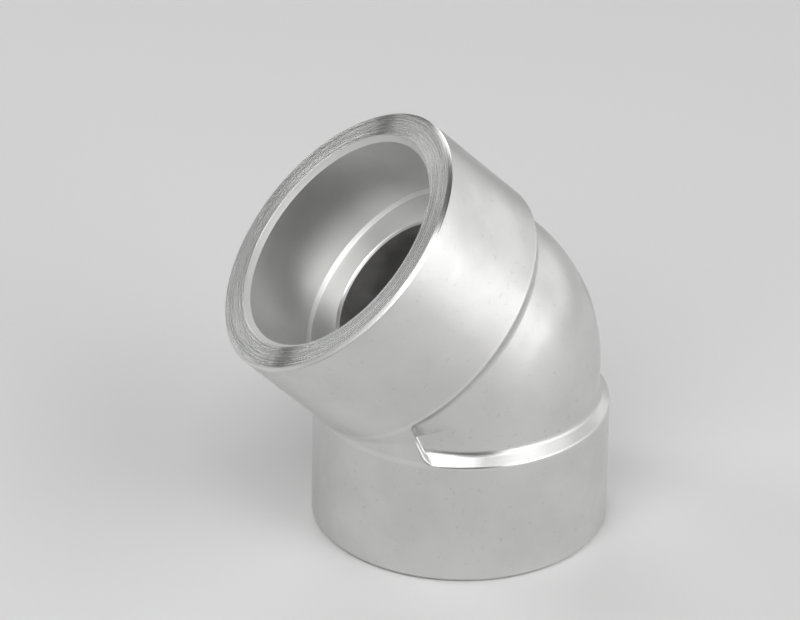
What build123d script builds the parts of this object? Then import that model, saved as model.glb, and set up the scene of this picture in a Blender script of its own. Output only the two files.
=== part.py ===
"""Forty-five degree socket-weld elbow, forged in one piece.

The lower mouth lies on the ground plane with its centre at the origin and its
axis along +Z. The upper leg leans towards -X. Both legs are alike, so one leg
and its bore are modelled up to the mitre plane and mirrored across it.
"""
from build123d import *
from math import cos, isclose, radians, sin, tan
import os

# Driving dimensions, in millimetres and degrees
bend_angle = 45.0
socket_radius = 17.1
socket_depth = 13.5
collar_wall = 4.65
flow_radius = 11.45
ledge_to_bend_centre = 14.5
collar_past_ledge = 5.6
body_step = 1.55
shoulder_slope = 45.0
bend_radius = 7.0
web_width = 9.65

# Edge breaks and forging rounds
rim_chamfer = 0.5
entry_chamfer = 0.8
ledge_chamfer = 0.4
socket_corner_chamfer = 0.5
shoulder_root_round = 1.4
valley_round = 1.2
pocket_edge_round = 0.4

# Sizes that follow from them
collar_radius = socket_radius + collar_wall
collar_length = socket_depth + collar_past_ledge
centre_to_end = socket_depth + ledge_to_bend_centre
body_radius = collar_radius - body_step
shoulder_top = collar_length + body_step * tan(radians(shoulder_slope))
half_bend = radians(bend_angle / 2)
tangent_height = centre_to_end - bend_radius * tan(half_bend)
reach = 2 * (centre_to_end + collar_radius)

# The mitre plane halves the bend, and its X axis points into the throat
bend_centre = Vector(0, 0, centre_to_end)
throat = Vector(-cos(half_bend), 0, -sin(half_bend))
across = Vector(-sin(half_bend), 0, cos(half_bend))
mitre_plane = Plane(origin=bend_centre, x_dir=throat, z_dir=across)
valley_point = bend_centre + throat * (collar_radius / cos(half_bend))
web_plane = Plane(origin=valley_point - throat * web_width, z_dir=throat)

# The pocket that thins the body, outside the web that joins the collars
with BuildPart() as pocket:
    with BuildSketch(Plane.XZ) as pocket_section:
        with BuildLine():
            Polyline(
                (body_radius, reach),
                (body_radius, shoulder_top),
                (collar_radius, collar_length),
                (reach, collar_length),
                (reach, reach),
                close=True,
            )
        make_face()
        shoulder_root = pocket_section.vertices().sort_by_distance((body_radius, shoulder_top))[0]
        fillet(shoulder_root, shoulder_root_round)
    revolve(axis=Axis.Z)
    with BuildSketch(Plane.XY.offset(tangent_height)):
        with Locations((-bend_radius, 0)):
            Rectangle(reach, 2 * reach, align=(Align.MIN, Align.CENTER))
    extrude(amount=reach)
    split(bisect_by=web_plane, keep=Keep.BOTTOM)

# One leg at the collar's radius, less its side of the pocket
with BuildPart() as leg:
    with BuildSketch():
        Circle(collar_radius)
    extrude(amount=reach)
    chamfer(leg.edges().group_by(Axis.Z)[0], rim_chamfer)
    add(pocket.part, mode=Mode.SUBTRACT)
    split(bisect_by=mitre_plane, keep=Keep.BOTTOM)

# The bore of one leg: entry chamfer, socket, ledge and flow passage
with BuildPart() as bore:
    with BuildSketch(Plane.XZ):
        with BuildLine():
            Polyline(
                (0, 0),
                (socket_radius + entry_chamfer, 0),
                (socket_radius, entry_chamfer),
                (socket_radius, socket_depth - socket_corner_chamfer),
                (socket_radius - socket_corner_chamfer, socket_depth),
                (flow_radius + ledge_chamfer, socket_depth),
                (flow_radius, socket_depth + ledge_chamfer),
                (flow_radius, reach),
                (0, reach),
                close=True,
            )
        make_face()
    revolve(axis=Axis.Z)
    split(bisect_by=mitre_plane, keep=Keep.BOTTOM)
    mirror(about=mitre_plane)

with BuildPart() as elbow:
    add(leg.part)
    mirror(about=mitre_plane)

    # The outer bend is the part of a tube's section beyond its bend axis, swung about that axis
    with BuildSketch(Plane.XY.offset(tangent_height)):
        Circle(body_radius)
        with Locations((-bend_radius, 0)):
            Rectangle(reach, 2 * reach, align=(Align.MIN, Align.CENTER), mode=Mode.INTERSECT)
    bend_axis = Axis((-bend_radius, 0, tangent_height), (0, -1, 0))
    revolve(axis=bend_axis, revolution_arc=bend_angle)

    # Forging rounds: the valley in the throat, then all round the pocket
    valley = elbow.edges().sort_by_distance(valley_point)[0]
    fillet(valley, valley_round)
    collar_arcs = elbow.edges().filter_by(GeomType.CIRCLE).filter_by(
        lambda edge: isclose(edge.radius, collar_radius) and not edge.is_closed
    )
    fillet(elbow.faces().filter_by(web_plane).edges() + collar_arcs, pocket_edge_round)

    add(bore.part, mode=Mode.SUBTRACT)

elbow.part.label = "elbow"
os.makedirs("parts", exist_ok=True)
export_step(elbow.part, "parts/elbow.step")
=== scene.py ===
"""Studio scene of a forty-five degree socket-weld elbow, forged in one piece.

The elbow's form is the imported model's. This script gives it the finish of the
real thing: a blasted and pickled forged skin, and machined metal on the
mouths, the sockets, their ledges and the flow bores. It stands on a pale floor
in soft studio light.
"""
import logging
from dataclasses import dataclass
from math import cos, pi, radians, sin
from typing import Any, Union

import bpy
from mathutils import Matrix, Vector

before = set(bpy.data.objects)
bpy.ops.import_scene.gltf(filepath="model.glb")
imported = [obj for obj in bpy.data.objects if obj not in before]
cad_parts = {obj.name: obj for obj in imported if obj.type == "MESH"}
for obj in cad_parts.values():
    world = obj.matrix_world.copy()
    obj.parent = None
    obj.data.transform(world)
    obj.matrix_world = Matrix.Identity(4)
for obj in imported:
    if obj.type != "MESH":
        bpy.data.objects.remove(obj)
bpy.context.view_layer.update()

log = logging.getLogger("elbow")
MM = 0.001
Colour = tuple[float, float, float]
Span = tuple[float, float]
Inputs = dict[Union[str, int], Any]
Value = Union["Field", float]


class Field:
    """A number that varies over a surface: one output socket with Python's operators."""

    def __init__(self, graph: "Graph", socket: bpy.types.NodeSocket) -> None:
        """Wraps a socket.

        Args:
            graph: the graph that the socket belongs to.
            socket: the output that holds the number.
        """
        self.graph = graph
        self.socket = socket

    def _maths(self, operation: str, *values: Value) -> "Field":
        """Adds a Math node.

        Args:
            operation: the node's operation.
            values: its inputs, in order.

        Returns:
            The node's result.
        """
        return self.graph.field("Math", {"operation": operation}, dict(enumerate(values)))

    def __add__(self, other: Value) -> "Field":
        """self + other."""
        return self._maths("ADD", self, other)

    def __radd__(self, other: float) -> "Field":
        """other + self."""
        return self._maths("ADD", other, self)

    def __sub__(self, other: Value) -> "Field":
        """self - other."""
        return self._maths("SUBTRACT", self, other)

    def __rsub__(self, other: float) -> "Field":
        """other - self."""
        return self._maths("SUBTRACT", other, self)

    def __mul__(self, other: Value) -> "Field":
        """self * other."""
        return self._maths("MULTIPLY", self, other)

    def __rmul__(self, other: float) -> "Field":
        """other * self."""
        return self._maths("MULTIPLY", other, self)

    def __truediv__(self, other: Value) -> "Field":
        """self / other."""
        return self._maths("DIVIDE", self, other)

    def at_least(self, floor: Value) -> "Field":
        """The larger of this number and another."""
        return self._maths("MAXIMUM", self, floor)

    def swing(self, amount: float) -> "Field":
        """Turns a pattern from 0 to 1 into a change of up to half the amount either way."""
        return (self - 0.5) * amount

    def rise(self, start: float, end: float) -> "Field":
        """A soft step.

        Args:
            start: where the result is 0.
            end: where the result is 1. Below start, the step falls.

        Returns:
            0 on start's side of the step and 1 on end's side.
        """
        settings = {"interpolation_type": "SMOOTHSTEP"}
        # The inputs are the value, the two ends of its range and the two ends of the result's
        if start < end:
            return self.graph.field("MapRange", settings, {0: self, 1: start, 2: end})
        return self.graph.field("MapRange", settings, {0: self, 1: end, 2: start, 3: 1.0, 4: 0.0})

    def within(self, low: float, high: float, blur: float) -> "Field":
        """A band.

        Args:
            low: the band's lower edge.
            high: its upper edge.
            blur: how wide each edge's soft step is.

        Returns:
            1 inside the band and 0 outside it.
        """
        half = blur / 2
        return self.rise(low - half, low + half) * self.rise(high + half, high - half)


class Graph:
    """The node tree of one material, or of the world."""

    def __init__(self, owner: Union[bpy.types.Material, bpy.types.World]) -> None:
        """Empties the owner's tree.

        Args:
            owner: the material or world.
        """
        owner.use_nodes = True
        self.tree = owner.node_tree
        self.tree.nodes.clear()

    def node(self, kind: str, settings: dict[str, Any], inputs: Inputs) -> bpy.types.Node:
        """Adds a node.

        Args:
            kind: the node's type, without its ShaderNode prefix.
            settings: its properties, set before its inputs.
            inputs: a value, a Field or an output socket for each input.

        Returns:
            The node.
        """
        made = self.tree.nodes.new("ShaderNode" + kind)
        for name, value in settings.items():
            setattr(made, name, value)
        for key, value in inputs.items():
            if isinstance(value, Field):
                value = value.socket
            if isinstance(value, bpy.types.NodeSocket):
                self.tree.links.new(value, made.inputs[key])
            else:
                made.inputs[key].default_value = value
        return made

    def field(self, kind: str, settings: dict[str, Any], inputs: Inputs,
              output: Union[str, int] = 0) -> Field:
        """Adds a node whose result is a number.

        Args:
            kind: as for node.
            settings: as for node.
            inputs: as for node.
            output: which output holds the number.

        Returns:
            That output.
        """
        return Field(self, self.node(kind, settings, inputs).outputs[output])

    def vector(self, operation: str, inputs: Inputs) -> bpy.types.NodeSocket:
        """Adds a Vector Math node and returns its vector."""
        return self.node("VectorMath", {"operation": operation}, inputs).outputs["Vector"]

    def noise(self, place: bpy.types.NodeSocket, size: float, detail: float) -> Field:
        """Adds noise in space.

        Args:
            place: the point, in millimetres.
            size: how far apart its blotches are, in millimetres.
            detail: how many finer layers it has.

        Returns:
            A number about 0.5, mostly between 0.3 and 0.7.
        """
        return self.field("TexNoise", {}, {"Vector": place, "Scale": 1 / size, "Detail": detail})

    def lines(self, distance: Field, pitch: float) -> Field:
        """Adds the uneven grooves that a turning tool leaves.

        Args:
            distance: how far the tool has fed, in millimetres.
            pitch: the feed of one turn.

        Returns:
            A number about 0.5 that changes with the distance alone.
        """
        return self.field("TexNoise", {"noise_dimensions": "1D"}, {"W": distance / pitch, "Detail": 1.0})

    def mix(self, factor: Value, first: Any, second: Any) -> bpy.types.NodeSocket:
        """Adds a colour mix.

        Args:
            factor: how much of the second colour shows.
            first: a colour, or a socket with one.
            second: a colour, or a socket with one.

        Returns:
            The mixed colour.
        """
        colours = [c if isinstance(c, bpy.types.NodeSocket) else (*c, 1.0) for c in (first, second)]
        # Inputs 6 and 7 and output 2 are the ones for colours
        made = self.node("Mix", {"data_type": "RGBA"}, {0: factor, 6: colours[0], 7: colours[1]})
        return made.outputs[2]


@dataclass(frozen=True)
class Zones:
    """Where each kind of surface lies: 1 on it and 0 off it, after the two measures behind them.

    Two zones overlap on the entry chamfers and in the sockets' corners. Both count there, so
    those edges come out duller than the surfaces beside them.
    """

    along: Field
    radius: Field
    face: Field
    wall: Field
    ledge: Field
    bore: Field
    entry: Field
    rim: Field
    crest: Field
    turned: Field
    skin: Field


@dataclass(frozen=True)
class Elbow:
    """Where the forms of the elbow lie, in millimetres. Both legs are alike about the mitre plane.

    A fade goes from 0 to 1, and a span is 1 between its two ends. The fades of the wall and the
    ledge across the leg are measured from the socket's radius. The wall's end, the ledge's span
    and the bore's fade are measured along the leg from the ledge. Those of the crest are measured
    from the collar's outside and from its end.
    """

    socket_radius: float = 17.1
    socket_depth: float = 13.5
    collar_radius: float = 21.75
    collar_length: float = 19.1
    centre_to_end: float = 28.0
    bend_angle: float = 45.0
    entry_chamfer: float = 0.8
    rim_chamfer: float = 0.5
    inner_margin: float = 1.0
    outer_margin: float = 2.0
    edge_blur: float = 0.12
    face_fade: Span = (0.12, 0.03)
    wall_end: float = -0.1
    wall_fade: Span = (-0.8, -0.3)
    ledge_span: Span = (-0.6, 0.2)
    ledge_fade: Span = (-0.1, -0.5)
    bore_fade: Span = (0.1, 0.3)
    crest_span: Span = (-0.45, 0.4)
    crest_fade: Span = (-0.3, -0.05)
    crest_blur: float = 0.5

    def zones(self, graph: Graph, place: bpy.types.NodeSocket) -> Zones:
        """Finds the kinds of surface on both legs.

        Args:
            graph: the material's graph.
            place: the point, in millimetres.

        Returns:
            The zones.
        """
        along, radius = self._measures(graph, place)
        past_wall = radius - self.socket_radius
        past_ledge = along - self.socket_depth
        past_collar = radius - self.collar_radius
        past_shoulder = along - self.collar_length

        inside = radius.rise(self.collar_radius - self.outer_margin, self.socket_radius + self.inner_margin)
        face = along.rise(*self.face_fade)
        wall = inside * along.within(0.0, self.socket_depth + self.wall_end, self.edge_blur)
        wall = wall * past_wall.rise(*self.wall_fade) * (1 - face)
        ledge = inside * past_ledge.within(*self.ledge_span, self.edge_blur)
        ledge = ledge * past_wall.rise(*self.ledge_fade)
        bore = inside * past_ledge.rise(*self.bore_fade)
        entry = inside * along.within(self.edge_blur, self.entry_chamfer, self.edge_blur)
        rim = (1 - inside) * along.within(self.edge_blur, self.rim_chamfer, self.edge_blur)
        crest = (1 - inside) * past_collar.rise(*self.crest_fade)
        crest = crest * past_shoulder.within(*self.crest_span, self.crest_blur)
        turned = face + wall + ledge + entry + rim
        skin = (1 - turned - bore).at_least(0.0)
        return Zones(along, radius, face, wall, ledge, bore, entry, rim, crest, turned, skin)

    def _measures(self, graph: Graph, place: bpy.types.NodeSocket) -> tuple[Field, Field]:
        """Folds the upper leg onto the lower one, so that one set of measures serves both.

        Args:
            graph: the material's graph.
            place: the point, in millimetres.

        Returns:
            The distance from the leg's mouth along its axis, and the distance from the axis.
        """
        half = radians(self.bend_angle / 2)
        across = Vector((-sin(half), 0, cos(half)))
        from_bend = graph.vector("SUBTRACT", {0: place, 1: Vector((0, 0, self.centre_to_end))})
        past = graph.field("VectorMath", {"operation": "DOT_PRODUCT"}, {0: from_bend, 1: across}, "Value")
        back = graph.vector("SCALE", {0: across, "Scale": past.at_least(0.0) * -2.0})
        folded = graph.vector("ADD", {0: place, 1: back})
        along = graph.field("SeparateXYZ", {}, {0: folded}, "Z")
        flat = graph.vector("MULTIPLY", {0: folded, 1: (1.0, 1.0, 0.0)})
        radius = graph.field("VectorMath", {"operation": "LENGTH"}, {0: flat}, "Value")
        return along, radius


@dataclass(frozen=True)
class Metal:
    """How one kind of surface looks."""

    colour: Colour
    roughness: float


@dataclass(frozen=True)
class Blotches:
    """Patches of another colour on the metal. Their size is in millimetres."""

    colour: Colour
    size: float
    detail: float
    fade: Span
    share: float

    def mask(self, graph: Graph, place: bpy.types.NodeSocket) -> Field:
        """Where the patches lie: 1 in them and 0 between them."""
        return graph.noise(place, self.size, self.detail).rise(*self.fade)


@dataclass(frozen=True)
class Marks:
    """The patterns that the metal bears, each a number from 0 to 1."""

    stains: Field
    specks: Field
    grain: Field
    dimples: Field
    grooves: Field
    coarse: Field


@dataclass(frozen=True)
class ForgedSteel:
    """The finish of the whole forging. Sizes and heights are in millimetres."""

    skin: Metal = Metal((0.69, 0.69, 0.685), 0.36)
    turned: Metal = Metal((0.72, 0.72, 0.71), 0.28)
    # The socket wall's colour is lighter than the turned metal's: painted light inside the socket.
    socket: Metal = Metal((0.80, 0.80, 0.79), 0.42)
    bored: Metal = Metal((0.72, 0.715, 0.71), 0.50)
    # The ledge's colour is lighter still than the wall's: a painted highlight on the ledge.
    ledge: Metal = Metal((0.90, 0.90, 0.89), 0.32)
    # Lighter colour on the chamfers and the shoulder's crest: partly wear, partly painted highlight along
    # those edges.
    edge_colour: Colour = (0.80, 0.80, 0.79)
    edge_share: float = 0.7
    crest_share: float = 0.6
    stains: Blotches = Blotches((0.60, 0.595, 0.585), 9.0, 4.0, (0.40, 0.68), 0.45)
    specks: Blotches = Blotches((0.42, 0.415, 0.41), 0.9, 3.0, (0.62, 0.74), 0.25)
    grain_size: float = 0.28
    grain_detail: float = 3.0
    grain_height: float = 0.006
    bore_grain: float = 1.5
    dimple_size: float = 4.5
    dimple_detail: float = 1.0
    dimple_height: float = 0.07
    groove_pitch: float = 0.07
    groove_height: float = 0.006
    face_groove_height: float = 0.024
    coarse_pitch: float = 0.9
    stain_roughness: float = 0.08
    grain_roughness: float = 0.10
    coarse_roughness: float = 0.16

    def dress(self, node: bpy.types.Object, shape: Elbow) -> None:
        """Gives the node its material.

        Args:
            node: the forging.
            shape: where its forms lie.
        """
        material = bpy.data.materials.new("forged_steel")
        graph = Graph(material)
        coordinates = graph.node("TexCoord", {}, {}).outputs["Object"]
        place = graph.vector("SCALE", {0: coordinates, "Scale": 1 / MM})
        zones = shape.zones(graph, place)
        marks = self._marks(graph, place, zones)
        height = self._height(zones, marks)
        bump = graph.node("Bump", {}, {"Height": height, "Strength": 1.0, "Distance": MM})
        shader = graph.node("BsdfPrincipled", {}, {
            "Base Color": self._colour(graph, zones, marks), "Roughness": self._roughness(zones, marks),
            "Metallic": 1.0, "Normal": bump.outputs[0]})
        graph.node("OutputMaterial", {}, {"Surface": shader.outputs[0]})
        node.data.materials.clear()
        node.data.materials.append(material)

    def _marks(self, graph: Graph, place: bpy.types.NodeSocket, zones: Zones) -> Marks:
        """Makes the patterns.

        Args:
            graph: the material's graph.
            place: the point, in millimetres.
            zones: where each kind of surface lies.

        Returns:
            The patterns.
        """
        return Marks(
            stains=self.stains.mask(graph, place),
            specks=self.specks.mask(graph, place),
            grain=graph.noise(place, self.grain_size, self.grain_detail),
            dimples=graph.noise(place, self.dimple_size, self.dimple_detail),
            grooves=self._cuts(graph, zones, self.groove_pitch),
            coarse=self._cuts(graph, zones, self.coarse_pitch),
        )

    @staticmethod
    def _cuts(graph: Graph, zones: Zones, pitch: float) -> Field:
        """Makes the marks of the cutting tool.

        Args:
            graph: the material's graph.
            zones: where each kind of surface lies.
            pitch: the tool's feed for each turn.

        Returns:
            Rings on the faces and ledges, where the tool fed inwards, and threads along the rest.
        """
        faced = zones.face + zones.ledge
        return graph.lines(zones.radius, pitch) * faced + graph.lines(zones.along, pitch) * (1 - faced)

    def _colour(self, graph: Graph, zones: Zones, marks: Marks) -> bpy.types.NodeSocket:
        """Works out the colour.

        Args:
            graph: the material's graph.
            zones: where each kind of surface lies.
            marks: the patterns.

        Returns:
            The colour.
        """
        colour = graph.mix(marks.stains * self.stains.share, self.skin.colour, self.stains.colour)
        colour = graph.mix(marks.specks * self.specks.share, colour, self.specks.colour)
        colour = graph.mix(zones.turned, colour, self.turned.colour)
        # Lighter colours on the socket's wall and ledge: painted light inside the socket.
        colour = graph.mix(zones.wall, colour, self.socket.colour)
        colour = graph.mix(zones.ledge, colour, self.ledge.colour)
        bored = graph.mix(marks.stains, self.bored.colour, self.specks.colour)
        colour = graph.mix(zones.bore, colour, bored)
        # The chamfers and the crest are lightened: partly wear, partly painted highlight.
        edges = zones.entry + zones.rim + zones.crest * self.crest_share
        return graph.mix(edges * self.edge_share, colour, self.edge_colour)

    def _roughness(self, zones: Zones, marks: Marks) -> Field:
        """Works out the roughness.

        Args:
            zones: where each kind of surface lies.
            marks: the patterns.

        Returns:
            The roughness.
        """
        mottled = marks.stains.swing(self.stain_roughness) + marks.grain.swing(self.grain_roughness)
        rough = zones.skin * (self.skin.roughness + mottled)
        rough = rough + zones.turned * (self.turned.roughness + marks.coarse.swing(self.coarse_roughness))
        rough = rough + zones.bore * self.bored.roughness
        rough = rough + zones.wall * (self.socket.roughness - self.turned.roughness)
        return rough + zones.ledge * (self.ledge.roughness - self.turned.roughness)

    def _height(self, zones: Zones, marks: Marks) -> Field:
        """Works out the relief.

        Args:
            zones: where each kind of surface lies.
            marks: the patterns.

        Returns:
            The height, in millimetres.
        """
        grain = marks.grain * self.grain_height
        fine_cuts = marks.grooves * self.groove_height
        coarse_cuts = marks.coarse * self.groove_height
        height = zones.skin * (grain + marks.dimples * self.dimple_height)
        height = height + zones.bore * (grain * self.bore_grain + fine_cuts)
        height = height + (zones.turned - zones.face) * (fine_cuts + coarse_cuts)
        return height + zones.face * (marks.grooves * self.face_groove_height + coarse_cuts)


@dataclass(frozen=True)
class Softbox:
    """A soft lamp that faces the elbow. Azimuth 0 is +Y and 90 is +X, in degrees; sizes are in metres."""

    name: str
    azimuth: float
    elevation: float
    strength: float
    width: float = 0.42
    height: float = 0.34
    distance: float = 0.8

    def build(self, target: Vector) -> bpy.types.Object:
        """Makes the lamp and turns it to the elbow.

        Args:
            target: the point that it faces.

        Returns:
            The lamp's object.
        """
        turn, lift = radians(self.azimuth), radians(self.elevation)
        outward = Vector((sin(turn) * cos(lift), cos(turn) * cos(lift), sin(lift)))
        data = bpy.data.lights.new(self.name, "AREA")
        data.shape = "RECTANGLE"
        data.size = self.width
        data.size_y = self.height
        data.energy = self.strength * pi * self.width * self.height
        lamp = bpy.data.objects.new(self.name, data)
        bpy.context.scene.collection.objects.link(lamp)
        facing = outward.to_track_quat("Z", "Y").to_matrix().to_4x4()
        lamp.matrix_world = Matrix.Translation(target + outward * self.distance) @ facing
        lamp.visible_camera = False
        return lamp


@dataclass(frozen=True)
class Studio:
    """The floor, the sky and the lamps. Sizes are in metres."""

    floor_size: float = 4.0
    floor_drop: float = 0.02 * MM
    floor_colour: Colour = (0.80, 0.80, 0.80)
    floor_roughness: float = 0.7
    teeth_per_metre: float = 900.0
    tooth_detail: float = 2.0
    tooth_strength: float = 0.2
    tooth_height: float = 0.1 * MM
    sky_low: Colour = (0.03, 0.03, 0.03)
    sky_high: Colour = (0.05, 0.05, 0.05)
    sky_fade: Span = (-0.1, 0.9)
    target: Vector = Vector((-0.007, 0.0, 0.030))
    lamps: tuple[Softbox, ...] = (
        Softbox("key_lamp", 225, 42, 3.1),
        Softbox("front_lamp", 212, 64, 2.8),
        Softbox("upper_lamp", 150, 42, 2.4),
        Softbox("shoulder_lamp", 110, 42, 1.4),
        Softbox("right_lamp", 150, 13, 3.0),
        Softbox("side_lamp", 120, 13, 1.7),
        Softbox("edge_lamp", 75, 13, 1.1, width=0.84),
        Softbox("left_lamp", 240, 13, 1.1),
        Softbox("back_lamp", 5, 42, 2.9),
        Softbox("mouth_lamp", 305, 31, 4.8, width=0.28, height=0.28),
    )

    def build(self) -> None:
        """Makes the floor, the sky and the lamps."""
        bpy.ops.object.select_all(action="DESELECT")
        bpy.ops.mesh.primitive_plane_add(size=self.floor_size, location=(0, 0, -self.floor_drop))
        floor = bpy.context.object
        floor.name = "studio_floor"
        floor.data.materials.append(self._paper())
        self._sky()
        for lamp in self.lamps:
            lamp.build(self.target)
            log.info("lamp %s", lamp.name)

    def _paper(self) -> bpy.types.Material:
        """Makes the floor's matt paper.

        Returns:
            The material.
        """
        material = bpy.data.materials.new("studio_paper")
        graph = Graph(material)
        place = graph.node("TexCoord", {}, {}).outputs["Object"]
        tooth = graph.noise(place, 1 / self.teeth_per_metre, self.tooth_detail)
        bump = graph.node("Bump", {}, {
            "Height": tooth, "Strength": self.tooth_strength, "Distance": self.tooth_height})
        shader = graph.node("BsdfPrincipled", {}, {
            "Base Color": (*self.floor_colour, 1), "Roughness": self.floor_roughness,
            "Normal": bump.outputs[0]})
        graph.node("OutputMaterial", {}, {"Surface": shader.outputs[0]})
        return material

    def _sky(self) -> None:
        """Makes the world a dim room that is a little lighter overhead."""
        world = bpy.data.worlds.new("studio_sky")
        bpy.context.scene.world = world
        graph = Graph(world)
        direction = graph.node("TexCoord", {}, {}).outputs["Generated"]
        height = graph.field("SeparateXYZ", {}, {0: direction}, "Z")
        colour = graph.mix(height.rise(*self.sky_fade), self.sky_low, self.sky_high)
        background = graph.node("Background", {}, {"Color": colour, "Strength": 1.0})
        graph.node("OutputWorld", {}, {"Surface": background.outputs[0]})


@dataclass(frozen=True)
class PhotoCamera:
    """A long lens, placed as the photograph's camera was. Angles are in degrees, lengths in metres."""

    azimuth: float = -19.62
    elevation: float = 28.75
    roll: float = 1.0335
    distance: float = 0.88948
    focal_pixels: float = 6083.0
    aim_right: float = -0.0090225
    aim_up: float = 0.0099296
    pivot: Vector = Vector((0, 0, 0.02175))
    image_width: int = 800
    sensor_width: float = 36.0
    clip_start: float = 0.05

    def build(self) -> bpy.types.Object:
        """Makes the scene's camera.

        Returns:
            The camera's object.
        """
        turn, lift, roll = (radians(a) for a in (self.azimuth, self.elevation, self.roll))
        back = Vector((sin(turn) * cos(lift), -cos(turn) * cos(lift), sin(lift)))
        level_right = Vector((cos(turn), sin(turn), 0))
        level_up = back.cross(level_right)
        right = cos(roll) * level_right + sin(roll) * level_up
        up = cos(roll) * level_up - sin(roll) * level_right
        centre = self.pivot + back * self.distance + right * self.aim_right + up * self.aim_up
        data = bpy.data.cameras.new("photo_camera")
        data.sensor_width = self.sensor_width
        data.lens = self.focal_pixels * self.sensor_width / self.image_width
        data.clip_start = self.clip_start
        camera = bpy.data.objects.new("photo_camera", data)
        bpy.context.scene.collection.objects.link(camera)
        camera.matrix_world = Matrix.Translation(centre) @ Matrix((right, up, back)).transposed().to_4x4()
        bpy.context.scene.camera = camera
        return camera


def main() -> None:
    """Dresses the elbow and builds the studio."""
    logging.basicConfig(level=logging.INFO, format="%(message)s")
    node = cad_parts["elbow"]
    ForgedSteel().dress(node, Elbow())
    log.info("elbow dressed: %d faces", len(node.data.polygons))
    Studio().build()
    PhotoCamera().build()
    bpy.context.scene.view_settings.view_transform = "Standard"


if __name__ == "__main__":
    main()
